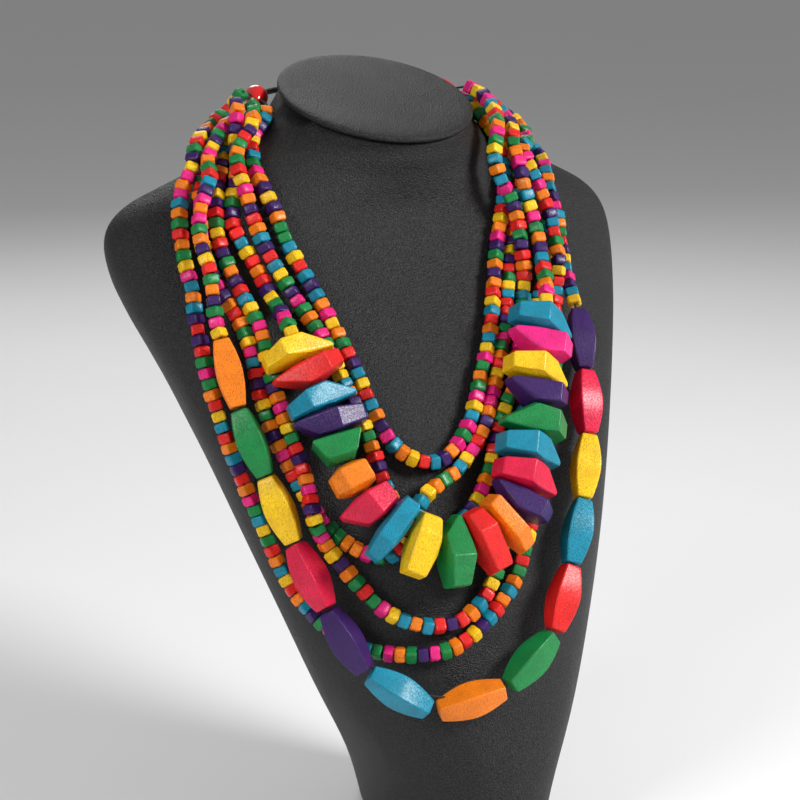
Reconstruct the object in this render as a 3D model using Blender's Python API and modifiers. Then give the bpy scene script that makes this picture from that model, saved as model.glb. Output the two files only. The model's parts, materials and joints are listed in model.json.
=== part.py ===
"""Beaded necklace on a neck bust.

Seven strings of wooden beads hang in nested loops on a black neck bust. Five
are all small beads, one carries a run of wedge-shaped chunks and one a run of
long ovals. Metres, +Z up, and the bust faces -Y.
"""

import math

import bmesh
import bpy
import numpy as np
from mathutils import Matrix, Vector
from mathutils.kdtree import KDTree

MM = 0.001

# The bust
BUST_HEIGHT = 0.277
SHOULDER_HALF_WIDTH = 0.111
FOOT_HALF_WIDTH = 0.025
NECK_HALF_WIDTH = 0.0375
BODY_HALF_DEPTH = 0.056
NECK_HALF_DEPTH = 0.0370
CHEST_REACH = 0.048
SHOULDER_SETBACK = 0.022
NECK_TILT = math.radians(21.0)
RING_SIDES = 40

# Sections of the bust, from the foot up. Width and depth are shares of the
# size they name, place is a share of CHEST_REACH (forward) or
# SHOULDER_SETBACK (back), and roundness is a superellipse exponent.
# Columns: height, width of, share, depth of, share, place of, share,
# roundness, tilt share
BUST_SECTIONS = [
    (0.000, "foot", 1.00, "body", 0.96, "reach", 0.97, 2.30, 0.0),
    (0.090, "foot", 1.28, "body", 0.97, "reach", 0.95, 2.30, 0.0),
    (0.180, "shoulder", 0.41, "body", 1.00, "reach", 0.90, 2.30, 0.0),
    (0.290, "shoulder", 0.52, "body", 1.00, "reach", 0.78, 2.30, 0.0),
    (0.400, "shoulder", 0.63, "body", 0.98, "reach", 0.62, 2.30, 0.0),
    (0.510, "shoulder", 0.73, "body", 0.95, "reach", 0.41, 2.30, 0.0),
    (0.615, "shoulder", 0.83, "body", 0.89, "reach", 0.16, 2.30, 0.0),
    (0.685, "shoulder", 0.90, "body", 0.84, "setback", 0.09, 2.30, 0.0),
    (0.735, "shoulder", 0.955, "body", 0.79, "setback", 0.45, 2.25, 0.0),
    (0.780, "shoulder", 0.99, "body", 0.75, "setback", 0.73, 2.20, 0.0),
    (0.816, "shoulder", 1.00, "body", 0.71, "setback", 0.91, 2.15, 0.0),
    (0.845, "shoulder", 0.98, "body", 0.68, "setback", 1.00, 2.10, 0.0),
    (0.870, "shoulder", 0.92, "body", 0.66, "setback", 1.00, 1.90, 0.0),
    (0.892, "shoulder", 0.81, "neck", 1.00, "setback", 0.95, 1.70, 0.1),
    (0.913, "shoulder", 0.68, "neck", 1.00, "setback", 0.91, 1.60, 0.24),
    (0.935, "shoulder", 0.56, "neck", 1.00, "setback", 0.86, 1.60, 0.43),
    (0.957, "neck", 1.36, "neck", 1.00, "setback", 0.77, 1.70, 0.62),
    (0.978, "neck", 1.15, "neck", 1.00, "setback", 0.73, 1.85, 0.81),
    (1.000, "neck", 1.00, "neck", 1.00, "setback", 0.64, 2.00, 1.0),
]

# The disc on top of the neck
CAP_OVERHANG = 0.0015
CAP_THICKNESS = 0.0045
CAP_EDGE_ROUND = 0.0016
SEAT_GAP = 0.0003

# Beads
SMALL_BEAD_HALF = 0.0027
OVAL_LENGTH = 0.0253
OVAL_SIDES = 4
OVAL_RIDGE_HALF = 0.0069
OVAL_END_RIDGE_HALF = 0.0041
CHUNK_LENGTH = 0.0265
CHUNK_HEIGHT = 0.0145
CHUNK_FLAT_HALF = 0.0030
BEAD_GAP = 0.0004
OVAL_GAP = 0.00034
STRING_GAP = 0.0004
STRING_STEP = 0.0100
FINE_STEP = 0.0001
CHUNK_PLAY = 1.3
ROUTE_UNITS = 277.0
RUN_LEAD = 0.0040
AIM_REACH = 0.0060
CUT_PLAY = 0.0030

# How the strings are pushed apart: rounds, the last of them without easing,
# how far each round eases a string and how far it moves what touches
SETTLE_ROUNDS = 160
ROUNDS_WITHOUT_EASE = 30
EASE = 0.35
PUSH = 1.2
EXTRA_ROOM = 1.01
LOOK_WITHIN = 0.025

# Fastening behind the neck
GATHER_ANGLE = 116.0
GATHER_HEIGHT = 0.978
GATHER_HALF_WIDTH = 0.0055
GATHER_LENGTH = 0.0100
GATHER_TIP_SHARE = 0.45
GATHER_BACK_SHARE = 0.80
CLASP_LENGTH = 0.0160
CLASP_HALF_WIDTH = 0.0038
CLASP_END_SHARE = 0.6
CORD_HALF_WIDTH = 0.0012
CORD_LEAD = 0.0040
CORD_TURNS = (134.0, 142.0, 150.0)

# Colours of the pieces that aren't beads
LEATHER_COLOUR = (0.022, 0.022, 0.024)
CORD_COLOUR = (0.02, 0.02, 0.02)
CLASP_COLOUR = (0.09, 0.04, 0.015)

# Routes of the strings, as chosen points. Each row is the angle round the
# bust (0 at the front, minus on the wearer's right), the height in 277ths of
# the bust's height, and how far the string's middle lies off the bust in mm.
LOW = 3.1
MID = 6.0
HIGH = 8.6
TOP = 14.0
ROUTES = {
    "string_1": [
        (-103, 273, LOW), (-92, 269, LOW), (-81, 262.5, LOW), (-68, 258, LOW),
        (-52, 250.5, LOW), (-42, 245, LOW), (-32, 236, LOW), (-27, 221, LOW), (-24, 206, LOW),
        (-22, 186, LOW), (-21, 170, LOW), (-18, 156, LOW), (-11, 150, LOW),
        (-5, 152, LOW), (0, 160, LOW), (4, 174, LOW), (8, 186, LOW),
        (12, 200, LOW), (15, 212, LOW), (20, 228, LOW), (28, 242, LOW),
        (45, 254, LOW), (65, 264, LOW), (84, 270, LOW), (103, 273, LOW),
    ],
    "string_2": [
        (-103, 270.5, HIGH), (-92, 268, HIGH), (-82, 264.5, HIGH), (-76, 260.5, HIGH),
        (-65, 255, HIGH), (-52, 248, MID),
        (-43, 242.5, LOW), (-35, 233, LOW), (-30, 215, LOW), (-26, 196, LOW),
        (-25, 180, LOW), (-24, 163, LOW), (-24, 144, LOW), (-20, 133, LOW),
        (-13, 128, LOW), (-5, 134, LOW), (0, 144, LOW), (3, 154, LOW),
        (6, 164, LOW), (11, 173, LOW), (15, 188, LOW), (19, 205, LOW),
        (18.5, 213, 7.0), (19.5, 224, HIGH), (21.5, 236, HIGH), (27, 248, HIGH),
        (38, 261, HIGH), (55, 269, HIGH), (80, 272, HIGH), (103, 273, HIGH),
    ],
    "string_3": [
        (-103, 267.5, 13.0), (-90, 265, 11.0), (-80, 261, MID), (-70, 258.5, LOW),
        (-58, 252.5, LOW), (-49, 246, LOW), (-41, 237.5, LOW), (-35, 224, LOW), (-33, 210, LOW),
        (-33, 201, 9.0), (-34, 191, TOP), (-33, 171, TOP), (-34, 154, TOP),
        (-32.5, 142, 15.5), (-28, 131.5, 17.0), (-21.5, 124.5, 17.0), (-13, 121.5, 15.5),
        (-5, 124, TOP), (1, 130, TOP), (6, 142, TOP), (9, 156, TOP),
        (12, 170, TOP), (15, 184, TOP), (18, 196, TOP), (21, 206, 10.0),
        (22.5, 214, HIGH), (24, 224, HIGH), (26, 237, HIGH), (38, 250, HIGH),
        (55, 260, HIGH), (80, 265, HIGH), (103, 268, HIGH),
    ],
    "string_4": [
        (-103, 262, LOW), (-95, 259, LOW), (-86, 256.5, LOW), (-74, 252, LOW), (-62, 247, LOW),
        (-51, 238.5, LOW), (-47, 227, LOW), (-46, 215, LOW), (-44, 206, LOW),
        (-44, 196, LOW), (-47, 183, LOW), (-50, 168, LOW), (-50, 150, LOW),
        (-49, 138, LOW), (-45, 128, LOW), (-38, 123, LOW), (-31, 121, LOW),
        (-25, 126, MID), (-20, 137, HIGH), (-12, 144, MID), (-4, 150, LOW),
        (1, 159, LOW), (5, 170, LOW), (9, 182, LOW), (13, 195, LOW),
        (17, 208, LOW), (20, 222, LOW), (26, 238, LOW), (42, 250, LOW),
        (60, 258.5, LOW), (82, 265.5, LOW), (103, 268.5, LOW),
    ],
    "string_5": [
        (-103, 267, LOW), (-91, 263, LOW), (-79, 258.5, LOW), (-69, 255, LOW),
        (-59, 250, LOW), (-49, 243, LOW), (-44, 236, LOW), (-42, 228, LOW), (-40, 208, LOW),
        (-40, 197, LOW), (-43, 184, LOW), (-45, 168, LOW), (-46, 152, LOW),
        (-48, 138, MID), (-48, 126, LOW), (-44, 116, LOW), (-39, 106, LOW),
        (-31, 100, LOW), (-21, 98, LOW), (-11, 101, LOW), (-4, 110, LOW),
        (0, 122, LOW), (4, 138, LOW), (7, 154, LOW), (10, 168, LOW),
        (14, 184, LOW), (20, 199, LOW), (26, 212, LOW), (29, 223, LOW),
        (32, 236, LOW), (45, 248, LOW), (62, 255, LOW), (82, 261.5, LOW),
        (103, 264, LOW),
    ],
    "string_6": [
        (-105, 271, 12.0), (-110, 267, 9.5), (-109, 263, HIGH), (-101, 260, HIGH),
        (-87, 257.5, HIGH), (-76, 254, HIGH), (-68, 250.5, MID), (-62, 246, LOW),
        (-56, 240.5, LOW), (-51.5, 234, LOW), (-50.5, 225, LOW), (-51, 212, LOW),
        (-55, 199, LOW),
        (-60, 185, LOW), (-65, 168, LOW), (-68, 152, LOW), (-70, 137, LOW),
        (-71, 124, LOW), (-71, 110, LOW), (-66, 100, LOW), (-57, 91, LOW),
        (-45, 88, LOW), (-32, 87, LOW), (-20, 88, LOW), (-10, 93, LOW),
        (-2, 101, LOW), (4, 112, LOW), (9, 126, LOW), (13, 140, LOW),
        (18, 157, LOW), (22, 173, LOW), (25, 188, LOW), (27, 201, LOW),
        (27.5, 211, HIGH), (29, 224, HIGH), (32, 239, HIGH), (46, 253, HIGH),
        (62, 257, HIGH), (84, 261, HIGH), (103, 264, HIGH),
    ],
    "string_7": [
        (-103, 264.5, HIGH), (-91, 263, HIGH), (-83, 260, HIGH), (-76, 257, HIGH),
        (-66, 252, HIGH), (-57, 248, HIGH), (-49, 240, HIGH),
        (-46, 231, HIGH), (-45, 220, HIGH), (-45, 212, HIGH),
        (-48, 203, MID), (-50, 192, MID), (-55, 170, MID), (-56, 148, MID),
        (-56, 126, MID), (-52, 104, 11.0), (-48, 84, 11.0), (-30, 67, MID),
        (-4, 74, MID), (12, 90, MID), (19, 112, MID), (25, 132, MID),
        (29, 153, MID), (30, 175, MID), (31, 193, MID), (32, 204, LOW),
        (32.5, 212, LOW), (33.5, 222, LOW), (36.5, 234, LOW), (43, 243, LOW),
        (62, 250.5, LOW), (84, 256.5, LOW), (103, 259.5, LOW),
    ],
}
# Where the first big bead of a run starts: the nearest point of the route to
# this angle and height.
FIRST_CHUNK_AT = (-34, 190)
FIRST_OVAL_AT = (-50, 195)

# Corners of the chunk forms, as shares of length, height and thickness. Each
# form also has a small flat round the string's hole on both sides. "roof" and
# "wedge" have a blunt end, a ridge and a thin tip on one side, and differ in
# where the ridge lies.
CHUNK_FORMS = {
    "roof": [
        (0.50, -0.40, -0.34), (0.50, -0.40, 0.38), (0.48, 0.14, -0.30),
        (0.48, 0.14, 0.35), (0.08, 0.50, -0.44), (0.08, 0.50, 0.42),
        (-0.20, -0.50, -0.46), (-0.22, 0.18, -0.42), (0.20, -0.50, -0.44),
        (0.20, -0.50, 0.46), (-0.50, -0.40, 0.20), (-0.50, -0.40, 0.40),
        (-0.48, -0.04, 0.24), (-0.48, -0.04, 0.38),
    ],
    "wedge": [
        (0.50, -0.40, -0.20), (0.50, -0.40, 0.44), (0.50, 0.06, -0.16),
        (0.50, 0.06, 0.40), (0.24, 0.50, -0.36), (0.24, 0.50, 0.42),
        (-0.10, -0.50, -0.48), (-0.08, 0.36, -0.44), (0.20, -0.50, -0.42),
        (0.20, -0.50, 0.46), (-0.50, -0.36, 0.20), (-0.50, -0.36, 0.40),
        (-0.48, 0.00, 0.24), (-0.48, 0.00, 0.38),
    ],
    "trapeze": [
        (0.48, 0.40, -0.44), (-0.50, 0.40, -0.42), (0.32, 0.50, 0.26),
        (-0.30, 0.50, 0.26), (0.46, -0.50, -0.38), (-0.46, -0.50, -0.36),
        (0.26, -0.10, 0.46), (-0.24, -0.10, 0.46), (0.26, -0.50, 0.42),
        (-0.24, -0.50, 0.42),
    ],
    "block": [
        (0.50, -0.16, -0.34), (0.50, -0.16, 0.34), (0.46, 0.22, -0.30),
        (0.46, 0.22, 0.30), (0.18, 0.50, -0.38), (0.18, 0.50, 0.36),
        (-0.44, 0.38, -0.34), (-0.46, 0.36, 0.32), (-0.50, -0.16, -0.36),
        (-0.50, -0.16, 0.34), (0.20, -0.42, -0.40), (0.20, -0.42, 0.40),
        (-0.20, -0.42, -0.40), (-0.20, -0.42, 0.40),
    ],
}
# Each chunk along the string: its colour, its form, 1 where its blunt end
# points to the loop's outside or -1 where it points to the inside, 1 where its
# tip lies on the side that the string runs to or -1 on the other, its share
# of the full length, and the room it takes along the string in mm.
CHUNKS = [
    ("yellow", "wedge", 1, 1, 1.00, 9.5), ("red", "wedge", -1, -1, 1.00, 10.0),
    ("blue", "wedge", 1, 1, 0.98, 9.5), ("violet", "roof", -1, -1, 1.00, 9.5),
    ("green", "trapeze", 1, 1, 0.72, 11.5), ("orange", "block", 1, 1, 0.60, 12.0),
    ("crimson", "roof", -1, -1, 0.80, 12.0), ("blue", "block", 1, 1, 1.00, 10.5),
    ("yellow", "block", -1, 1, 0.90, 13.5), ("green", "roof", 1, 1, 1.00, 13.0),
    ("red", "block", -1, 1, 0.94, 12.5), ("orange", "block", 1, 1, 0.94, 10.0),
    ("violet", "wedge", 1, 1, 0.94, 10.5), ("crimson", "roof", -1, -1, 1.00, 11.2),
    ("blue", "roof", -1, -1, 1.00, 10.8), ("green", "wedge", 1, -1, 1.00, 11.2),
    ("violet", "wedge", 1, 1, 0.94, 10.0), ("yellow", "roof", -1, -1, 1.00, 10.0),
    ("pink", "wedge", 1, 1, 0.96, 10.8), ("blue", "roof", -1, -1, 1.00, 10.0),
]
# Each oval along the string: its colour and how far one of its ridges is rolled
# about the string, in degrees from straight off the bust
OVALS = [
    ("orange", 33), ("green", 34), ("yellow", 34), ("crimson", -30), ("violet", 41),
    ("blue", -12), ("orange", -20), ("green", -33), ("red", 32), ("blue", 21),
    ("yellow", 16), ("crimson", 30), ("violet", 20),
]

COLOURS = {
    "red": (0.75, 0.02, 0.02),
    "orange": (0.90, 0.25, 0.01),
    "yellow": (0.95, 0.62, 0.01),
    "green": (0.01, 0.27, 0.07),
    "blue": (0.01, 0.30, 0.48),
    "crimson": (0.72, 0.01, 0.07),
    "pink": (0.85, 0.03, 0.22),
    "violet": (0.05, 0.01, 0.14),
}


def clear_scene():
    """Take away whatever the file holds."""
    for item in list(bpy.data.objects):
        bpy.data.objects.remove(item, do_unlink=True)
    for item in list(bpy.data.collections):
        bpy.data.collections.remove(item)


def material(name, colour, roughness):
    """A plain Principled material."""
    made = bpy.data.materials.new(name)
    made.use_nodes = True
    shader = made.node_tree.nodes["Principled BSDF"]
    shader.inputs["Base Color"].default_value = (*colour, 1.0)
    shader.inputs["Roughness"].default_value = roughness
    return made


def place_object(name, data, collection, look):
    """Link new data as a named object with its material."""
    made = bpy.data.objects.new(name, data)
    data.materials.clear()
    data.materials.append(look)
    collection.objects.link(made)
    return made


def section_values():
    """The sections as rows of height, half width, half depth, place, roundness and tilt."""
    widths = {"foot": FOOT_HALF_WIDTH, "shoulder": SHOULDER_HALF_WIDTH, "neck": NECK_HALF_WIDTH}
    depths = {"body": BODY_HALF_DEPTH, "neck": NECK_HALF_DEPTH}
    places = {"reach": -CHEST_REACH, "setback": SHOULDER_SETBACK}
    rows = []
    for height, w_of, w, d_of, d, p_of, p, roundness, tilt in BUST_SECTIONS:
        rows.append((
            height * BUST_HEIGHT, w * widths[w_of], d * depths[d_of],
            p * places[p_of], roundness, tilt * NECK_TILT,
        ))
    return np.array(rows)


SECTIONS = section_values()


def bust_point(angle, height):
    """A point on the bust's skin, or an array of them, from angles in degrees and heights."""
    half_width, half_depth, place, roundness, tilt = (
        np.interp(height, SECTIONS[:, 0], SECTIONS[:, column]) for column in range(1, 6)
    )
    turn = np.radians(angle)
    power = 2.0 / roundness
    across = half_width * np.sign(np.sin(turn)) * np.abs(np.sin(turn)) ** power
    back = -half_depth * np.sign(np.cos(turn)) * np.abs(np.cos(turn)) ** power
    return np.stack([across, place + back * np.cos(tilt), height + back * np.sin(tilt)], -1)


def bust_normal(angle, height):
    """The outward direction of the skin, taken over a few millimetres round the point."""
    reach = 4 * MM
    turn = 4.0
    around = bust_point(angle + turn, height) - bust_point(angle - turn, height)
    up = (bust_point(angle, np.minimum(height + reach, BUST_HEIGHT))
          - bust_point(angle, np.maximum(height - reach, 0.0)))
    out = np.cross(around, up)
    return out / np.linalg.norm(out, axis=-1, keepdims=True)


def smooth_line(points, steps=24):
    """A Catmull-Rom curve through the points."""
    points = np.array(points, float)
    ends = np.vstack([2 * points[0] - points[1], points, 2 * points[-1] - points[-2]])
    line = []
    for a, b, c, d in zip(ends[:-3], ends[1:-2], ends[2:-1], ends[3:]):
        for t in np.arange(steps) / steps:
            line.append(0.5 * (2 * b + (c - a) * t + (2 * a - 5 * b + 4 * c - d) * t * t
                               + (3 * b - a - 3 * c + d) * t ** 3))
    line.append(points[-1])
    return np.array(line)


def even_points(line, step):
    """The same line with points at even distances of about one step."""
    lengths = np.concatenate([[0], np.cumsum(np.linalg.norm(np.diff(line, axis=0), axis=1))])
    count = max(2, int(round(lengths[-1] / step)) + 1)
    at = np.linspace(0, lengths[-1], count)
    return np.stack([np.interp(at, lengths, line[:, axis]) for axis in range(3)], -1)


def route_line(name):
    """A string's route as even points in space, before it settles."""
    rows = smooth_line(ROUTES[name])
    height = np.clip(rows[:, 1] * BUST_HEIGHT / ROUTE_UNITS, 0.0, BUST_HEIGHT)
    skin = bust_point(rows[:, 0], height)
    return even_points(skin + bust_normal(rows[:, 0], height) * rows[:, 2:3] * MM, STRING_STEP)


def nearest_between(p, q, r, s):
    """Shares along segments p-q and r-s where they come closest, for arrays of segments."""
    d1, d2, gap = q - p, s - r, p - r
    a = (d1 * d1).sum(-1)
    e = (d2 * d2).sum(-1)
    b = (d1 * d2).sum(-1)
    c = (d1 * gap).sum(-1)
    f = (d2 * gap).sum(-1)
    spread = np.maximum(a * e - b * b, 1e-12)
    first = np.clip((b * f - c * e) / spread, 0, 1)
    second = np.clip((b * first + f) / e, 0, 1)
    first = np.clip((b * second - c) / a, 0, 1)
    return first, second


def skin_tree():
    """Points on the skin in a search tree, with their outward directions."""
    angle, height = np.meshgrid(np.arange(-180, 180, 3.0), np.arange(0, BUST_HEIGHT, 2 * MM))
    places = bust_point(angle, height).reshape(-1, 3)
    outward = bust_normal(angle, height).reshape(-1, 3)
    tree = KDTree(len(places))
    for index, place in enumerate(places):
        tree.insert(place, index)
    tree.balance()
    return tree, places, outward


def settle(lines, half_widths):
    """Push the strings apart and off the bust until none touches another."""
    names = list(lines)
    tree, places, outward = skin_tree()
    start, first_of = [], {}
    for name in names:
        first_of[name] = len(start)
        start.extend(lines[name])
    start = np.array(start)
    half = np.concatenate([half_widths[name] for name in names])
    owner = np.concatenate([[i] * len(lines[name]) for i, name in enumerate(names)])
    tails = np.array([i for i in range(len(start) - 1) if owner[i] == owner[i + 1]])
    one, two = np.triu_indices(len(tails), 1)
    apart = owner[tails[one]] != owner[tails[two]]
    one, two = tails[one[apart]], tails[two[apart]]
    moved = np.zeros_like(start)
    for turn in range(SETTLE_ROUNDS):
        now = start + moved
        push = np.zeros_like(now)
        hits = np.full(len(now), 1e-9)
        near = np.linalg.norm((now[one] + now[one + 1] - now[two] - now[two + 1]) / 2, axis=1)
        close = near < LOOK_WITHIN
        i, j = one[close], two[close]
        t, u = nearest_between(now[i], now[i + 1], now[j], now[j + 1])
        between = (now[i] + (now[i + 1] - now[i]) * t[:, None]
                   - now[j] - (now[j + 1] - now[j]) * u[:, None])
        distance = np.maximum(np.linalg.norm(between, axis=1), 1e-7)
        need = np.maximum(half[i], half[i + 1]) + np.maximum(half[j], half[j + 1]) + STRING_GAP
        short = need * EXTRA_ROOM - distance
        hit = short > 0
        step = (between[hit] / distance[hit, None]) * (short[hit, None] / 2)
        for which, share, sign in (
            (i[hit], 1 - t[hit], 1), (i[hit] + 1, t[hit], 1),
            (j[hit], 1 - u[hit], -1), (j[hit] + 1, u[hit], -1),
        ):
            np.add.at(push, which, sign * step * share[:, None])
            np.add.at(hits, which, share)
        moved += push / np.maximum(hits, 1.0)[:, None] * PUSH
        if turn < SETTLE_ROUNDS - ROUNDS_WITHOUT_EASE:
            eased = moved.copy()
            inner = tails[1:][np.diff(tails) == 1]
            eased[inner] += EASE * (moved[inner - 1] + moved[inner + 1] - 2 * moved[inner])
            moved = eased
        now = start + moved
        checks = [(tails, 0.0), (tails, 0.5), (tails + 1, 0.0)]
        for index, share in checks:
            nxt = np.minimum(index + 1, len(now) - 1)
            spots = now[index] * (1 - share) + now[nxt] * share
            for k, spot in zip(index, spots):
                _, found, _ = tree.find(spot)
                lift = float((spot - places[found]) @ outward[found])
                lack = half[k] + STRING_GAP - lift
                if lack > 0:
                    moved[k] += outward[found] * lack
                    if share:
                        moved[k + 1] += outward[found] * lack
    now = start + moved
    return {name: now[first_of[name]:first_of[name] + len(lines[name])] for name in names}


def along(line, distance, reach=AIM_REACH):
    """The point at a distance along a line, and the line's direction there."""
    lengths = np.concatenate([[0], np.cumsum(np.linalg.norm(np.diff(line, axis=0), axis=1))])
    spots = [np.array([np.interp(d, lengths, line[:, axis]) for axis in range(3)])
             for d in (distance - reach, distance, distance + reach)]
    ahead = spots[2] - spots[0]
    return spots[1], ahead / np.linalg.norm(ahead)


def start_of_run(line, angle_height):
    """How far along the line its point nearest to an angle and height lies."""
    angle, height = angle_height
    target = bust_point(np.array(float(angle)), np.array(height * BUST_HEIGHT / ROUTE_UNITS))
    lengths = np.concatenate([[0], np.cumsum(np.linalg.norm(np.diff(line, axis=0), axis=1))])
    return lengths[np.linalg.norm(line - target, axis=1).argmin()]


def cut_line(line, start, end):
    """The stretch of a line between two distances along it."""
    lengths = np.concatenate([[0], np.cumsum(np.linalg.norm(np.diff(line, axis=0), axis=1))])
    inner = line[(lengths > start + CUT_PLAY) & (lengths < end - CUT_PLAY)]
    return np.vstack([along(line, start)[0], inner, along(line, end)[0]])


def nearest_outward(spot, skin):
    """The skin's outward direction nearest to a point."""
    tree, _, outward = skin
    return outward[tree.find(spot)[1]]


def tube(name, points, half_width, collection, look, resolution=2):
    """A string of small beads, or a cord, as a tube along the points."""
    data = bpy.data.curves.new(name, "CURVE")
    data.dimensions = "3D"
    spline = data.splines.new("POLY")
    spline.points.add(len(points) - 1)
    for index, place in enumerate(points):
        spline.points[index].co = (*place, 1.0)
    data.bevel_depth = half_width
    data.bevel_resolution = resolution
    data.render_resolution_u = 0
    data.use_fill_caps = True
    return place_object(name, data, collection, look)


def turned(name, profile, sides, collection, look):
    """A turned piece round Z, from a profile of radius and height from end to end."""
    mesh = bpy.data.meshes.new(name)
    shape = bmesh.new()
    corners = [shape.verts.new((radius, 0.0, height)) for radius, height in profile]
    for a, b in zip(corners[:-1], corners[1:]):
        shape.edges.new((a, b))
    shape.to_mesh(mesh)
    shape.free()
    made = place_object(name, mesh, collection, look)
    screw = made.modifiers.new("turn", "SCREW")
    screw.axis = "Z"
    screw.steps = sides
    screw.render_steps = sides
    screw.use_merge_vertices = True
    screw.merge_threshold = 0.00001
    screw.use_normal_calculate = True
    return made


def make_bust(collection, look):
    """The body, lofted through its sections, with flat ends."""
    shape = bmesh.new()
    angles = np.arange(RING_SIDES) * 360.0 / RING_SIDES
    rings = []
    for height in SECTIONS[:, 0]:
        places = bust_point(angles, np.full(RING_SIDES, height))
        rings.append([shape.verts.new(place) for place in places])
    for lower, upper in zip(rings[:-1], rings[1:]):
        for k in range(RING_SIDES):
            after = (k + 1) % RING_SIDES
            shape.faces.new((lower[k], lower[after], upper[after], upper[k]))
    shape.faces.new(list(reversed(rings[0])))
    shape.faces.new(rings[-1])
    bmesh.ops.recalc_face_normals(shape, faces=shape.faces)
    mesh = bpy.data.meshes.new("bust_body")
    shape.to_mesh(mesh)
    shape.free()
    return place_object("bust_body", mesh, collection, look)


def make_cap(collection, look):
    """The disc on the neck, tilted with the neck's top."""
    radius = NECK_HALF_WIDTH + CAP_OVERHANG
    edge = CAP_EDGE_ROUND
    profile = [
        (0.0, 0.0), (radius - edge, 0.0), (radius, edge),
        (radius, CAP_THICKNESS - edge), (radius - edge, CAP_THICKNESS), (0.0, CAP_THICKNESS),
    ]
    cap = turned("neck_cap", profile, RING_SIDES, collection, look)
    seat = bust_point(np.array([0.0, 180.0]), np.array([BUST_HEIGHT, BUST_HEIGHT])).mean(0)
    up = Vector((0.0, -math.sin(NECK_TILT), math.cos(NECK_TILT)))
    cap.location = Vector(seat) + up * SEAT_GAP
    cap.rotation_euler = (NECK_TILT, 0.0, 0.0)
    return cap


def oval_profile():
    """Half widths over the ridges and places of a long oval bead from end to end."""
    half = OVAL_LENGTH / 2
    swell = OVAL_RIDGE_HALF - OVAL_END_RIDGE_HALF
    lower = [(0.0, -half), (OVAL_END_RIDGE_HALF, -half)]
    for place, share in ((0.30, 0.62), (0.10, 0.96)):
        lower.append((OVAL_END_RIDGE_HALF + share * swell, -place * OVAL_LENGTH))
    upper = [(width, -place) for width, place in reversed(lower)]
    return lower + [(OVAL_RIDGE_HALF, 0.0)] + upper


def frame_matrix(centre, ahead, out):
    """Axes with Z along the string and X away from the bust."""
    ahead = Vector(ahead).normalized()
    out = Vector(out)
    out = (out - ahead * out.dot(ahead)).normalized()
    side = ahead.cross(out)
    turn = Matrix((out, side, ahead)).transposed().to_4x4()
    return Matrix.Translation(Vector(centre)) @ turn


def oval_seat(tail, head, roll, skin):
    """Where a long bead sits between two points, rolled about the string."""
    centre = (tail + head) / 2
    seat = frame_matrix(centre, head - tail, nearest_outward(centre, skin))
    return seat @ Matrix.Rotation(math.radians(roll), 4, "Z")


def end_reach(seat, towards):
    """How far a long bead's end reaches from the string on the side that another way points to."""
    ahead = seat.col[2].to_3d()
    inner = Vector(towards)
    inner = (inner - ahead * inner.dot(ahead)).normalized()
    ridges = [abs(inner.dot(seat.col[k].to_3d())) for k in (0, 1)]
    return OVAL_END_RIDGE_HALF * max(ridges)


def oval_joints(dense, start, skin):
    """The seats of the ovals on a finely stepped line, with room for the turn between each two."""
    gaps = [OVAL_GAP] * len(OVALS)
    first = round(start / FINE_STEP)
    for _ in range(4):
        seats = []
        index = first
        for before, after, (_, roll) in zip([OVAL_GAP, *gaps], gaps, OVALS):
            here = dense[index]
            ahead = np.linalg.norm(dense[index:] - here, axis=1)
            room = OVAL_LENGTH + (before + after) / 2
            index += int(np.argmax(ahead >= room))
            shift = (dense[index] - here) * (before - after) / 4 / room
            seats.append(oval_seat(here + shift, dense[index] + shift, roll, skin))
        ways = [np.array(seat.col[2].to_3d()) for seat in seats]
        for k in range(len(OVALS) - 1):
            turn = math.acos(min(1.0, float(ways[k] @ ways[k + 1])))
            reach = end_reach(seats[k], ways[k + 1]) + end_reach(seats[k + 1], -ways[k])
            gaps[k] = OVAL_GAP + reach * math.tan(turn / 2)
    return seats, first * FINE_STEP, index * FINE_STEP


def make_ovals(line, collection, looks, skin):
    """The run of long oval beads, and the distances where it starts and ends."""
    dense = even_points(smooth_line(line, 10), FINE_STEP)
    seats, start, end = oval_joints(dense, start_of_run(dense, FIRST_OVAL_AT), skin)
    for number, (seat, (colour, _)) in enumerate(zip(seats, OVALS), 1):
        bead = turned(f"oval_bead_{number:02d}", oval_profile(), OVAL_SIDES, collection,
                      looks[colour])
        bead.matrix_world = seat
    return start, end, dense


def chunk_places(line):
    """Where each chunk sits, which way the string runs there, and its thickness."""
    line = even_points(smooth_line(line, 10), MM)
    first = start_of_run(line, FIRST_CHUNK_AT)
    rooms = [row[5] * MM for row in CHUNKS]
    middles = first + np.cumsum(rooms) - np.array(rooms) / 2
    spots = [along(line, middle) for middle in middles]
    bends = [math.acos(min(1.0, float(a[1] @ b[1]))) for a, b in zip(spots[:-1], spots[1:])]
    plays = [BEAD_GAP + CHUNK_PLAY * CHUNK_FLAT_HALF * math.tan(bend)
             for bend in (bends[0], *bends, bends[-1])]
    places = []
    for number, (centre, ahead) in enumerate(spots):
        before, after = plays[number], plays[number + 1]
        places.append((centre + ahead * (before - after) / 4, ahead,
                       rooms[number] - (before + after) / 2))
    return places, first, first + sum(rooms)


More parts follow.
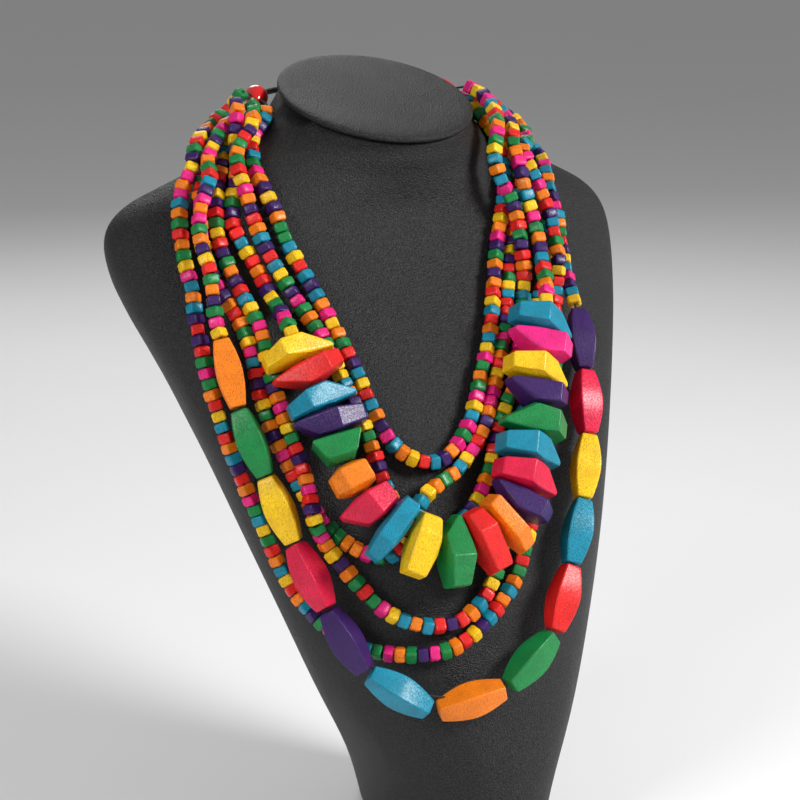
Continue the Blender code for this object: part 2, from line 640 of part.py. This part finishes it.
def make_chunks(line, collection, looks, skin):
    """The run of wedge-shaped beads, and the distances where it starts and ends."""
    places, start, end = chunk_places(line)
    flat = CHUNK_FLAT_HALF
    for number, (row, (centre, ahead, thickness)) in enumerate(zip(CHUNKS, places), 1):
        colour, form, blunt, tip, share, _ = row
        corners = [(y * CHUNK_HEIGHT, blunt * x * share * CHUNK_LENGTH, tip * z * thickness)
                   for x, y, z in CHUNK_FORMS[form]]
        corners += [(x, y, z) for x in (-flat, flat) for y in (-flat, flat)
                    for z in (-thickness / 2, thickness / 2)]
        shape = bmesh.new()
        for corner in corners:
            shape.verts.new(corner)
        bmesh.ops.convex_hull(shape, input=shape.verts)
        bmesh.ops.dissolve_limit(shape, angle_limit=0.01, verts=shape.verts, edges=shape.edges)
        bmesh.ops.recalc_face_normals(shape, faces=shape.faces)
        mesh = bpy.data.meshes.new(f"chunk_bead_{number:02d}")
        shape.to_mesh(mesh)
        shape.free()
        bead = place_object(f"chunk_bead_{number:02d}", mesh, collection, looks[colour])
        bead.matrix_world = frame_matrix(centre, ahead, nearest_outward(centre, skin))
    return start, end


def make_fastening(collection, looks):
    """Two gather beads beside the neck, the cord behind it and the barrel clasp."""
    height = GATHER_HEIGHT * BUST_HEIGHT
    half = GATHER_LENGTH / 2
    profile = [(0.0, -half), (GATHER_HALF_WIDTH * GATHER_TIP_SHARE, -half),
               (GATHER_HALF_WIDTH, half * 0.5), (GATHER_HALF_WIDTH * GATHER_BACK_SHARE, half),
               (0.0, half)]
    clasp_at = clasp_centre(height)
    for name, side in (("right", -1), ("left", 1)):
        angle = np.array(side * GATHER_ANGLE)
        out = bust_normal(angle, height)
        centre = bust_point(angle, height) + out * (GATHER_HALF_WIDTH + STRING_GAP)
        behind = bust_point(angle + side * 5.0, height) - bust_point(angle - side * 5.0, height)
        behind /= np.linalg.norm(behind)
        bead = turned(f"gather_bead_{name}", profile, 12, collection, looks["red"])
        bead.matrix_world = frame_matrix(centre, behind, out)
        exit_at = centre + behind * (half + BEAD_GAP)
        aside = np.array([side, 0.0, 0.0])
        entry = clasp_at + aside * (CLASP_LENGTH / 2 + BEAD_GAP)
        turns = side * np.array(CORD_TURNS)
        heights = np.full(len(turns), height)
        lifts = np.linspace(GATHER_HALF_WIDTH, CLASP_HALF_WIDTH, len(turns))[:, None]
        between = bust_point(turns, heights) + bust_normal(turns, heights) * lifts
        line = smooth_line([exit_at, exit_at + behind * CORD_LEAD, *between,
                            entry + aside * CORD_LEAD, entry], 2)
        tube(f"neck_cord_{name}", line, CORD_HALF_WIDTH, collection, looks["cord"])
    half = CLASP_LENGTH / 2
    narrow = CLASP_END_SHARE * CLASP_HALF_WIDTH
    profile = [(0.0, -half), (narrow, -half), (CLASP_HALF_WIDTH, -half * 0.7),
               (CLASP_HALF_WIDTH, half * 0.7), (narrow, half), (0.0, half)]
    clasp = turned("barrel_clasp", profile, 12, collection, looks["clasp"])
    clasp.location = Vector(clasp_at)
    clasp.rotation_euler = (0.0, math.radians(90.0), 0.0)


def clasp_centre(height):
    """The middle of the clasp, on the back of the neck."""
    angle = np.array(180.0)
    return bust_point(angle, height) + bust_normal(angle, height) * (CLASP_HALF_WIDTH + STRING_GAP)


def centre_on_floor(collection):
    """Shift everything so that the whole part stands centred on the origin."""
    bpy.context.view_layer.update()
    graph = bpy.context.evaluated_depsgraph_get()
    corners = []
    for item in collection.objects:
        solid = item.evaluated_get(graph).to_mesh()
        corners += [item.matrix_world @ vertex.co for vertex in solid.vertices]
    corners = np.array([list(corner) for corner in corners])
    middle = (corners.min(0) + corners.max(0)) / 2
    for item in collection.objects:
        item.location -= Vector((middle[0], middle[1], corners[:, 2].min()))


def main():
    clear_scene()
    collection = bpy.data.collections.new("beaded_necklace_on_neck_bust")
    bpy.context.scene.collection.children.link(collection)
    leather = material("leatherette", LEATHER_COLOUR, 0.45)
    looks = {name: material(f"{name}_wood", colour, 0.35) for name, colour in COLOURS.items()}
    looks["cord"] = material("cord", CORD_COLOUR, 0.7)
    looks["clasp"] = material("clasp_wood", CLASP_COLOUR, 0.5)
    strings = {
        "string_1": "orange", "string_2": "green", "string_3": "pink",
        "string_4": "blue", "string_5": "yellow", "string_6": "red", "string_7": "violet",
    }

    make_bust(collection, leather)
    make_cap(collection, leather)
    skin = skin_tree()
    lines = {name: route_line(name) for name in ROUTES}
    half_widths = {name: np.full(len(line), SMALL_BEAD_HALF) for name, line in lines.items()}
    for name, first, length, half in (
        ("string_3", FIRST_CHUNK_AT, sum(row[5] for row in CHUNKS) * MM, CHUNK_HEIGHT / 2),
        ("string_7", FIRST_OVAL_AT, len(OVALS) * (OVAL_LENGTH + OVAL_GAP), OVAL_RIDGE_HALF),
    ):
        line = lines[name]
        start = start_of_run(line, first)
        lengths = np.arange(len(line)) * np.linalg.norm(line[1] - line[0])
        half_widths[name][(lengths > start - RUN_LEAD) & (lengths < start + length)] = half
    lines = settle(lines, half_widths)

    for name, colour in strings.items():
        line = lines[name]
        if name == "string_3":
            start, end = make_chunks(line, collection, looks, skin)
        elif name == "string_7":
            start, end, line = make_ovals(line, collection, looks, skin)
            line = line[::round(STRING_STEP / FINE_STEP)]
        else:
            tube(name, line, SMALL_BEAD_HALF, collection, looks[colour])
            continue
        whole = np.linalg.norm(np.diff(line, axis=0), axis=1).sum()
        ends = (("right", 0.0, start - BEAD_GAP), ("left", end + BEAD_GAP, whole))
        for side, begin, finish in ends:
            tube(f"{name}_{side}", cut_line(line, begin, finish), SMALL_BEAD_HALF,
                 collection, looks[colour])
    make_fastening(collection, looks)
    centre_on_floor(collection)


main()
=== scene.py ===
"""Beaded necklace on a neck bust.

Seven strings of dyed wooden beads hang on a black leatherette bust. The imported
part gives every place, and this script gives the looks.
"""

import json
import math
import random

import bmesh
import bpy
import numpy as np
from mathutils import Matrix, Vector

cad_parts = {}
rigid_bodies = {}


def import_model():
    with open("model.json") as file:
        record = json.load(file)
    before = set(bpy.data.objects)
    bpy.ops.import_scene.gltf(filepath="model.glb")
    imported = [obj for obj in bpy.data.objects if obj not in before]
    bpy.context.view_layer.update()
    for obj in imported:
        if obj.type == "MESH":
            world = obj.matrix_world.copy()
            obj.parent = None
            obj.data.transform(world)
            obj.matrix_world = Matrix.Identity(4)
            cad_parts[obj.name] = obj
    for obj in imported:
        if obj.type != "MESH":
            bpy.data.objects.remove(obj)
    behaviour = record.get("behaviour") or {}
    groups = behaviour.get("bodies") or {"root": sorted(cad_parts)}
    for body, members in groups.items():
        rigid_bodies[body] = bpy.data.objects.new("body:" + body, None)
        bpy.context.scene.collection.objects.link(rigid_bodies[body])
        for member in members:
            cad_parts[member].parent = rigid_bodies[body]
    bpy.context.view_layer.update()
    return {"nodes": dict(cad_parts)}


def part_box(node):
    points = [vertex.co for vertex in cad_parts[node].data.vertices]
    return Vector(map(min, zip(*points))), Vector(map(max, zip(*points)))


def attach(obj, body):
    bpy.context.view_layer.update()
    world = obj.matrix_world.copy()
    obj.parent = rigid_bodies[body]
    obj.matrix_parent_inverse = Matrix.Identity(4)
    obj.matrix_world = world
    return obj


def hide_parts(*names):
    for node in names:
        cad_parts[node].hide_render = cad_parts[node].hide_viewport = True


for item in list(bpy.data.objects):
    bpy.data.objects.remove(item)
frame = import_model()


# The view. A long lens looks at the bust from its right side and from a little
# above, at the photograph's angle, so that the foot runs out of the picture.
view_turn = math.radians(28)
view_dip = math.radians(13)
view_distance = 0.8
view_target = Vector((0.004, 0.0237, 0.160))
looking = Vector((
    math.sin(view_turn) * math.cos(view_dip),
    math.cos(view_turn) * math.cos(view_dip),
    -math.sin(view_dip),
))
lens = bpy.data.cameras.new("camera")
lens.lens = 90
lens.sensor_width = 36
camera = bpy.data.objects.new("camera", lens)
camera.location = view_target - looking * view_distance
camera.rotation_euler = looking.to_track_quat("-Z", "Y").to_euler()
bpy.context.collection.objects.link(camera)
bpy.context.scene.camera = camera


# The studio. A plain pale floor, a soft white room and three soft boxes, the
# strongest to the right of the camera, as the beads' highlights ask.
def put_light(name, place, size, power):
    """A square soft box that faces the beads."""
    data = bpy.data.lights.new(name, "AREA")
    data.size = size
    data.energy = power
    lamp = bpy.data.objects.new(name, data)
    lamp.location = Vector(place)
    lamp.rotation_euler = (view_target - Vector(place)).to_track_quat("-Z", "Y").to_euler()
    bpy.context.collection.objects.link(lamp)


put_light("soft_box_right", (0.80, -0.85, 0.90), 0.42, 21.0)
put_light("soft_box_left", (-1.15, -0.45, 0.80), 0.45, 8.0)
put_light("soft_box_behind", (0.3, 1.1, 1.0), 0.6, 5.0)
room = bpy.data.worlds.new("room")
room.use_nodes = True
room.node_tree.nodes["Background"].inputs["Color"].default_value = (1.0, 1.0, 1.0, 1.0)
room.node_tree.nodes["Background"].inputs["Strength"].default_value = 0.24
bpy.context.scene.world = room
bpy.context.scene.view_settings.view_transform = "Standard"


def new_finish(name):
    """A material with its nodes, its links and its Principled shader."""
    made = bpy.data.materials.new(name)
    made.use_nodes = True
    tree = made.node_tree
    return made, tree, tree.nodes["Principled BSDF"]


def add_node(tree, kind, settings=None, **sockets):
    """A new node with its settings and its fixed socket values."""
    made = tree.nodes.new(kind)
    for key, value in (settings or {}).items():
        setattr(made, key, value)
    for key, value in sockets.items():
        made.inputs[key.replace("_", " ")].default_value = value
    return made


floor_radius = 14.0
floor_shape = bmesh.new()
bmesh.ops.create_circle(floor_shape, cap_ends=True, segments=96, radius=floor_radius)
floor_mesh = bpy.data.meshes.new("floor")
floor_shape.to_mesh(floor_mesh)
floor_shape.free()
floor = bpy.data.objects.new("floor", floor_mesh)
bpy.context.collection.objects.link(floor)
floor_finish, tree, shader = new_finish("pale_floor")
spread = add_node(tree, "ShaderNodeTexCoord")
mottle = add_node(tree, "ShaderNodeTexNoise", Scale=6.0, Detail=3.0)
tint = add_node(tree, "ShaderNodeMapRange", From_Min=0.3, From_Max=0.7, To_Min=0.55, To_Max=0.62)
tree.links.new(spread.outputs["Object"], mottle.inputs["Vector"])
tree.links.new(mottle.outputs["Fac"], tint.inputs["Value"])
tree.links.new(tint.outputs["Result"], shader.inputs["Roughness"])
shader.inputs["Base Color"].default_value = (0.88, 0.88, 0.89, 1.0)
floor_mesh.materials.append(floor_finish)


# The bust. A moulded half figure covered in black leatherette with a fine
# pebble grain, finished plainly at its foot, which the photograph cuts off.
merge_reach = 0.00002
flat_angle = math.radians(0.5)
bent_angle = math.radians(40)
skewed_angle = math.radians(60)


def merged_copy(node):
    """A bmesh copy of a CAD node with its loose triangles joined into plain faces."""
    shape = bmesh.new()
    shape.from_mesh(frame["nodes"][node].data)
    bmesh.ops.remove_doubles(shape, verts=shape.verts, dist=merge_reach)
    bmesh.ops.dissolve_limit(
        shape, angle_limit=flat_angle, verts=shape.verts, edges=shape.edges)
    bmesh.ops.join_triangles(
        shape, faces=shape.faces, angle_face_threshold=bent_angle,
        angle_shape_threshold=skewed_angle)
    return shape


def crease_sharp_edges(shape, angle):
    """Hold edges sharper than an angle through the smoothing that follows."""
    layer = shape.edges.layers.float.new("crease_edge")
    for edge in shape.edges:
        if len(edge.link_faces) == 2 and edge.calc_face_angle() > angle:
            edge[layer] = 1.0


rounded_angle = math.radians(24)


def finish_piece(name, shape, finishes, nodes, smoothing=0, edge_round=0.0, even=False):
    """Make a piece of the necklace or bust from its bmesh, hang it on the root body, and hide
    the CAD nodes it stands in for.
    """
    mesh = bpy.data.meshes.new(name)
    for face in shape.faces:
        face.smooth = True
    shape.to_mesh(mesh)
    shape.free()
    for finish in finishes:
        mesh.materials.append(finish)
    piece = bpy.data.objects.new(name, mesh)
    bpy.context.collection.objects.link(piece)
    if smoothing:
        smooth = piece.modifiers.new("smooth", "SUBSURF")
        smooth.levels = smoothing
        smooth.render_levels = smoothing
    if edge_round:
        bevel = piece.modifiers.new("edges", "BEVEL")
        bevel.width = edge_round
        bevel.segments = 3
        bevel.limit_method = "ANGLE"
        bevel.angle_limit = rounded_angle
    if even:
        piece.modifiers.new("even_light", "WEIGHTED_NORMAL")
    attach(piece, "root")
    if nodes:
        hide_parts(*nodes)
    return piece


leatherette, tree, shader = new_finish("black_leatherette")
place = add_node(tree, "ShaderNodeTexCoord")
pebble = add_node(tree, "ShaderNodeTexVoronoi", Scale=1500.0, Randomness=1.0)
pores = add_node(tree, "ShaderNodeTexNoise", Scale=1900.0, Detail=3.0, Roughness=0.7)
worn = add_node(tree, "ShaderNodeTexNoise", Scale=14.0, Detail=4.0)
heights = add_node(tree, "ShaderNodeMath", {"operation": "ADD"})
speck = add_node(
    tree, "ShaderNodeMapRange", From_Min=0.44, From_Max=0.60, To_Min=0.0, To_Max=1.0)
dye = add_node(tree, "ShaderNodeMix", {"data_type": "RGBA"})
dye.inputs["A"].default_value = (0.004, 0.004, 0.0045, 1.0)
dye.inputs["B"].default_value = (0.030, 0.030, 0.031, 1.0)
shine = add_node(
    tree, "ShaderNodeMapRange", From_Min=0.35, From_Max=0.65, To_Min=0.42, To_Max=0.54)
grain = add_node(tree, "ShaderNodeBump", Strength=0.9, Distance=0.00034)
for texture in (pebble, pores, worn):
    tree.links.new(place.outputs["Object"], texture.inputs["Vector"])
tree.links.new(pebble.outputs["Distance"], heights.inputs[0])
tree.links.new(pores.outputs["Fac"], heights.inputs[1])
tree.links.new(heights.outputs["Value"], grain.inputs["Height"])
tree.links.new(pores.outputs["Fac"], speck.inputs["Value"])
tree.links.new(speck.outputs["Result"], dye.inputs["Factor"])
tree.links.new(dye.outputs["Result"], shader.inputs["Base Color"])
tree.links.new(worn.outputs["Fac"], shine.inputs["Value"])
tree.links.new(shine.outputs["Result"], shader.inputs["Roughness"])
tree.links.new(grain.outputs["Normal"], shader.inputs["Normal"])
shader.inputs["Specular IOR Level"].default_value = 0.28

foot_rim_angle = math.radians(50)
bust_shape = merged_copy("bust_body")
crease_sharp_edges(bust_shape, foot_rim_angle)
finish_piece("bust", bust_shape, [leatherette], ["bust_body"], smoothing=2)


# The neck cap. A thin round board in the same leatherette, its edge rolled
# over, pressed onto the neck so that a dark groove shows under it.
cap_shape = merged_copy("neck_cap")
finish_piece("cap", cap_shape, [leatherette], ["neck_cap"], smoothing=2)


# The strings of small beads. Each bead is a little cube of dyed wood, tumbled
# round at its corners, drilled and lacquered, threaded with its neighbours
# touching. Colours come in no fixed order, and the rows below follow the photograph.
dye_colours = {
    "r": ("red", (0.80, 0.012, 0.010)),
    "o": ("orange", (0.95, 0.22, 0.003)),
    "y": ("yellow", (1.0, 0.58, 0.005)),
    "g": ("green", (0.003, 0.23, 0.050)),
    "c": ("blue", (0.001, 0.25, 0.38)),
    "p": ("pink", (0.86, 0.010, 0.22)),
    "v": ("violet", (0.036, 0.005, 0.110)),
    "k": ("crimson", (0.76, 0.004, 0.055)),
}


pore_scale = 2300.0
grain_stretch = 0.55


def dyed_wood(name, colour, turn=None):
    """Dyed wood under satin lacquer: short open pores along the grain, and slow mottling."""
    made, tree, shader = new_finish(name)
    place = add_node(tree, "ShaderNodeTexCoord")
    along = add_node(tree, "ShaderNodeMapping", Scale=(1.0, 1.0, grain_stretch))
    if turn is not None:
        along.inputs["Rotation"].default_value = turn
    pores = add_node(tree, "ShaderNodeTexNoise", Scale=pore_scale, Detail=2.5, Roughness=0.65)
    mottle = add_node(tree, "ShaderNodeTexNoise", Scale=170.0, Detail=2.0)
    depth = add_node(
        tree, "ShaderNodeMapRange", From_Min=0.34, From_Max=0.52, To_Min=0.0, To_Max=1.0)
    patch = add_node(
        tree, "ShaderNodeMapRange", From_Min=0.3, From_Max=0.7, To_Min=0.0, To_Max=1.0)
    body = add_node(tree, "ShaderNodeMix", {"data_type": "RGBA"})
    body.inputs["A"].default_value = (*(0.84 * c for c in colour), 1.0)
    body.inputs["B"].default_value = (*(min(1.0, 1.10 * c) for c in colour), 1.0)
    stain = add_node(tree, "ShaderNodeMix", {"data_type": "RGBA"})
    stain.inputs["A"].default_value = (*(0.66 * c for c in colour), 1.0)
    satin = add_node(
        tree, "ShaderNodeMapRange", From_Min=0.0, From_Max=1.0, To_Min=0.56, To_Max=0.38)
    relief = add_node(tree, "ShaderNodeBump", Strength=0.7, Distance=0.00018)
    tree.links.new(place.outputs["Object"], along.inputs["Vector"])
    tree.links.new(along.outputs["Vector"], pores.inputs["Vector"])
    tree.links.new(place.outputs["Object"], mottle.inputs["Vector"])
    tree.links.new(pores.outputs["Fac"], depth.inputs["Value"])
    tree.links.new(mottle.outputs["Fac"], patch.inputs["Value"])
    tree.links.new(patch.outputs["Result"], body.inputs["Factor"])
    tree.links.new(depth.outputs["Result"], stain.inputs["Factor"])
    tree.links.new(body.outputs["Result"], stain.inputs["B"])
    tree.links.new(stain.outputs["Result"], shader.inputs["Base Color"])
    tree.links.new(depth.outputs["Result"], satin.inputs["Value"])
    tree.links.new(satin.outputs["Result"], shader.inputs["Roughness"])
    tree.links.new(depth.outputs["Result"], relief.inputs["Height"])
    tree.links.new(relief.outputs["Normal"], shader.inputs["Normal"])
    shader.inputs["Specular IOR Level"].default_value = 0.32
    shader.inputs["Coat Weight"].default_value = 0.16
    shader.inputs["Coat Roughness"].default_value = 0.18
    return made


small_dyes = "roygcpv"
small_finishes = [dyed_wood(f"small_{dye_colours[d][0]}", dye_colours[d][1]) for d in small_dyes]

bead_half_width = 0.00255
bead_pitch = 0.00405
bead_sides = 12
# Half of the bead's outline: distance from the thread and place along it
bead_hole = 0.24
bead_outline = [(bead_hole, 0.94), (0.80, 0.98), (1.0, 0.64)]
# The bead is round at its hole and nearly square at its widest
bead_squareness = 4.0

bead_shape = bmesh.new()
outline = bead_outline + [(width, -place) for width, place in reversed(bead_outline)]
corners = [bead_shape.verts.new((width, 0.0, place)) for width, place in outline]
for a, b in zip(corners, corners[1:] + corners[:1]):
    bead_shape.edges.new((a, b))
bmesh.ops.spin(
    bead_shape, geom=bead_shape.verts[:] + bead_shape.edges[:], cent=(0, 0, 0),
    axis=(0, 0, 1), angle=math.tau, steps=bead_sides, use_merge=True)
bmesh.ops.remove_doubles(bead_shape, verts=bead_shape.verts, dist=0.0001)
for corner in bead_shape.verts:
    width = corner.co.xy.length
    turn = math.atan2(corner.co.y, corner.co.x) + math.pi / bead_sides
    outward = max(0.0, (width - bead_hole) / (1.0 - bead_hole))
    squareness = 2.0 + bead_squareness * outward
    across = Vector((math.cos(turn), math.sin(turn)))
    corner.co.x = width * math.copysign(abs(across.x) ** (2.0 / squareness), across.x)
    corner.co.y = width * math.copysign(abs(across.y) ** (2.0 / squareness), across.y)
bmesh.ops.recalc_face_normals(bead_shape, faces=bead_shape.faces)
one_bead = bpy.data.meshes.new("one_bead")
bead_shape.to_mesh(one_bead)
bead_shape.free()


def middle_of(node):
    """The middle of a CAD node's box."""
    low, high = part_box(node)
    return (np.array(low) + np.array(high)) / 2


ring_reach = 0.0024


def string_line(node, start):
    """Even points along a CAD string, from the rings of its tube and from the end near start."""
    left = np.unique(np.round([v.co for v in frame["nodes"][node].data.vertices], 5), axis=0)
    rings = []
    while len(left):
        ring, left = left[:1], left[1:]
        grown = True
        while grown and len(left):
            gaps = np.linalg.norm(left[:, None] - ring[None], axis=2).min(1)
            near = gaps < ring_reach
            grown = near.any()
            ring, left = np.vstack([ring, left[near]]), left[~near]
        rings.append(ring.mean(0))
    rings = np.array(rings)
    line = [np.array(start)]
    while len(rings):
        nearest = np.linalg.norm(rings - line[-1], axis=1).argmin()
        line.append(rings[nearest])
        rings = np.delete(rings, nearest, axis=0)
    return smooth_line(np.array(line[1:]))


def smooth_line(points, steps=20):
    """A smooth line through points, with even small steps."""
    ends = np.vstack([2 * points[0] - points[1], points, 2 * points[-1] - points[-2]])
    line = []
    for a, b, c, d in zip(ends[:-3], ends[1:-2], ends[2:-1], ends[3:]):
        for t in np.arange(steps) / steps:
            line.append(0.5 * (2 * b + (c - a) * t + (2 * a - 5 * b + 4 * c - d) * t * t
                               + (3 * b - a - 3 * c + d) * t ** 3))
    return np.array([*line, points[-1]])


def along_line(line, distances):
    """Points at distances along a line."""
    steps = np.linalg.norm(np.diff(line, axis=0), axis=1)
    lengths = np.concatenate([[0.0], np.cumsum(steps)])
    return np.stack([np.interp(distances, lengths, line[:, axis]) for axis in range(3)], -1)


def line_length(line):
    """The length of a line."""
    return float(np.linalg.norm(np.diff(line, axis=0), axis=1).sum())


# Each string's runs of beads that show: where the run starts and ends, in mm
# along the string from the wearer's right, and its colours
string_runs = {
    "string_1": [
        (5, 75, "ocvpyrcgpovyvoggcy"),
        (79, 290, "rcvcopyogrvcyrcovpcoyrcvopgpcypgogpycorcyrovogvpoyr"),
        (310, 345, "cryoyogyc"),
    ],
    "string_2": [
        (9, 45, "goyvrgogry"),
        (49, 111, "povrocvrcygvpgogp"),
        (128, 135, "yco"),
        (148.5, 176, "ygorvrco"),
        (211.5, 266, "cvypogyrvrgygo"),
        (309.5, 370, "cyrorvgrovgpcocy"),
        (374, 406.5, "gpogrycpv"),
    ],
    "string_3_right": [(46, 110.7, "ygvrrcyrorvygvpgy")],
    "string_3_left": [(2.5, 94, "ypogrcvogpycovpogryvp")],
    "string_4": [
        (40, 76.5, "opropyocvp"),
        (85, 188, "orogypcrvrygovoporcyoppggoo"),
        (205.5, 256.5, "rypccyogocyp"),
        (282.5, 338.5, "poyrogpgvrrcygr"),
    ],
    "string_5": [
        (68, 162.5, "vgovrcygpogyrgvopoygrvrop"),
        (169.5, 173.5, "vy"),
        (184, 268, "oyvogrgpycocrvrocryg"),
    ],
    "string_6": [
        (2, 238, "gyrgrgovyrgvypopcogrogypcocvrvrgpgorycrocvropgcygrocyrocvgp"),
        (258, 333, "gpogvpgoryvcrocogrg"),
        (339, 343, "yr"),
        (438, 495, "rcryvogrcvropcy"),
        (499, 515.5, "pocgp"),
    ],
    "string_7_right": [(3, 102.8, "copgvypogrcvpopgovyrgovgpy")],
    "string_7_left": [(4, 47, "ycvpcyvrgocp")],
}
string_starts = {"string_3_left": "chunk_bead_20", "string_7_left": "oval_bead_13"}
shuffle = random.Random(11)
bead_lean = 0.07
bead_swell = (0.94, 1.05)
bead_fill = (0.90, 0.98)
look_ahead = 0.0015


def bead_places(length, runs):
    """Where each bead of a string sits, in metres along it, and its colour."""
    end = bead_pitch * 0.5
    beads = []
    for first, last, colours in [*runs, (length * 1000 + 2.0, None, "")]:
        hidden = first / 1000 - bead_pitch / 2 - end
        count = max(0, round(hidden / bead_pitch))
        for k in range(count):
            others = [d for d in small_dyes if not beads or d != beads[-1][1]]
            beads.append((end + (k + 0.5) * hidden / count, shuffle.choice(others)))
        if colours:
            beads += zip(np.linspace(first / 1000, last / 1000, len(colours)), colours)
            end = last / 1000 + bead_pitch / 2
    return [bead for bead in beads if bead[0] < length - bead_pitch * 0.3]


lines = {}
for node, runs in string_runs.items():
    line = string_line(node, middle_of(string_starts.get(node, "gather_bead_right")))
    lines[node] = line
    beads = bead_places(line_length(line), runs)
    places = np.array([distance for distance, _ in beads])
    middles = along_line(line, places)
    ahead = along_line(line, places + look_ahead) - along_line(line, places - look_ahead)
    rooms = np.gradient(places)
    string_shape = bmesh.new()
    for (_, colour), middle, way, room in zip(beads, middles, ahead, rooms):
        way = Vector(way).normalized()
        lean = Vector([shuffle.uniform(-bead_lean, bead_lean) for _ in range(3)])
        turn = (way + lean).to_track_quat("Z", "Y").to_matrix().to_4x4()
        roll = Matrix.Rotation(shuffle.uniform(0.0, math.tau), 4, "Z")
        wide = bead_half_width * shuffle.uniform(*bead_swell)
        high = bead_half_width * shuffle.uniform(*bead_swell)
        size = Matrix.Diagonal((wide, high, 0.5 * room * shuffle.uniform(*bead_fill), 1.0))
        bead = one_bead.copy()
        bead.transform(Matrix.Translation(middle) @ turn @ roll @ size)
        bead.polygons.foreach_set(
            "material_index", [small_dyes.index(colour)] * len(bead.polygons))
        string_shape.from_mesh(bead)
        bpy.data.meshes.remove(bead)
    finish_piece(
        f"{node}_beads", string_shape, small_finishes, [node], even=True)


# The chunks. Offcuts of wood sawn to wedges and blocks, sanded at the edges,
# dyed and lacquered, hung close together on the third string.
def grain_turn(node):
    """The turn that lays a pattern's Z along a bead's longest side."""
    spots = np.array([v.co[:] for v in frame["nodes"][node].data.vertices])
    _, _, axes = np.linalg.svd(spots - spots.mean(0), full_matrices=False)
    return Vector(axes[0]).rotation_difference(Vector((0.0, 0.0, 1.0))).to_euler()


chunk_edge_round = 0.0007
chunk_dyes = "yrcvgokcygrovkcgvypc"
for number, letter in enumerate(chunk_dyes, 1):
    node = f"chunk_bead_{number:02d}"
    colour_name, colour = dye_colours[letter]
    wood = dyed_wood(f"{node}_wood", colour, grain_turn(node))
    chunk_shape = merged_copy(node)
    finish_piece(
        f"chunk_{number:02d}", chunk_shape, [wood], [node],
        edge_round=chunk_edge_round, even=True)


# The long ovals. Barrels of dyed wood with four faces that meet in soft
# ridges, cut square at the ends and drilled from end to end.
oval_edge_round = 0.0006
oval_ridge_angle = math.radians(28)
oval_dyes = "ogykvcogrcykv"
for number, letter in enumerate(oval_dyes, 1):
    node = f"oval_bead_{number:02d}"
    colour_name, colour = dye_colours[letter]
    wood = dyed_wood(f"{node}_wood", colour, grain_turn(node))
    oval_shape = merged_copy(node)
    crease_sharp_edges(oval_shape, oval_ridge_angle)
    finish_piece(
        f"oval_{number:02d}", oval_shape, [wood], [node],
        smoothing=2, edge_round=oval_edge_round, even=True)


# The threads. Waxed black cotton runs through every bead, bare only where the
# strings come together at the gather beads.
thread_half_width = 0.00045
thread_stride = 10
threads = bpy.data.curves.new("threads", "CURVE")
threads.dimensions = "3D"
threads.bevel_depth = thread_half_width
threads.bevel_resolution = 1
threads.use_fill_caps = True
gather_right = middle_of("gather_bead_right")
gather_left = middle_of("gather_bead_left")
for number in range(1, 8):
    if number in (3, 7):
        big = "chunk" if number == 3 else "oval"
        count = len(chunk_dyes if number == 3 else oval_dyes)
        way = np.vstack([
            lines[f"string_{number}_right"][::thread_stride],
            [middle_of(f"{big}_bead_{k:02d}") for k in range(1, count + 1)],
            lines[f"string_{number}_left"][::thread_stride],
        ])
    else:
        way = lines[f"string_{number}"][::thread_stride]
    way = np.vstack([gather_right, way, gather_left])
    spline = threads.splines.new("POLY")
    spline.points.add(len(way) - 1)
    for point, spot in zip(spline.points, way):
        point.co = (*spot, 1.0)
holder = bpy.data.objects.new("threads", threads)
bpy.context.collection.objects.link(holder)
thread_mesh = bpy.data.meshes.new_from_object(holder)
bpy.data.objects.remove(holder)
thread_shape = bmesh.new()
thread_shape.from_mesh(thread_mesh)
bpy.data.meshes.remove(thread_mesh)

cotton, tree, shader = new_finish("waxed_cotton")
place = add_node(tree, "ShaderNodeTexCoord")
twist = add_node(tree, "ShaderNodeTexWave", Scale=900.0, Distortion=1.5)
lay = add_node(tree, "ShaderNodeBump", Strength=0.6, Distance=0.0001)
tree.links.new(place.outputs["Object"], twist.inputs["Vector"])
tree.links.new(twist.outputs["Fac"], lay.inputs["Height"])
tree.links.new(lay.outputs["Normal"], shader.inputs["Normal"])
shader.inputs["Base Color"].default_value = (0.018, 0.016, 0.015, 1.0)
shader.inputs["Roughness"].default_value = 0.62
finish_piece("threads", thread_shape, [cotton], [])


# The fastening. Two glossy red gather beads close the strings beside the neck,
# and a waxed cord behind it carries a plain dark barrel clasp.
gloss_red, tree, shader = new_finish("gloss_red")
place = add_node(tree, "ShaderNodeTexCoord")
haze = add_node(tree, "ShaderNodeTexNoise", Scale=300.0, Detail=2.0)
sheen = add_node(tree, "ShaderNodeMapRange", To_Min=0.12, To_Max=0.22)
tree.links.new(place.outputs["Object"], haze.inputs["Vector"])
tree.links.new(haze.outputs["Fac"], sheen.inputs["Value"])
tree.links.new(sheen.outputs["Result"], shader.inputs["Roughness"])
shader.inputs["Base Color"].default_value = (0.62, 0.008, 0.008, 1.0)
shader.inputs["Coat Weight"].default_value = 0.8
for side in ("right", "left"):
    finish_piece(
        f"gather_{side}", merged_copy(f"gather_bead_{side}"), [gloss_red],
        [f"gather_bead_{side}"], smoothing=2)
    frame["nodes"][f"neck_cord_{side}"].material_slots[0].material = cotton
clasp_stain = dyed_wood("clasp_stain", (0.09, 0.04, 0.015), (0.0, math.radians(90), 0.0))
clasp_shape = merged_copy("barrel_clasp")
finish_piece("clasp", clasp_shape, [clasp_stain], ["barrel_clasp"], smoothing=2)
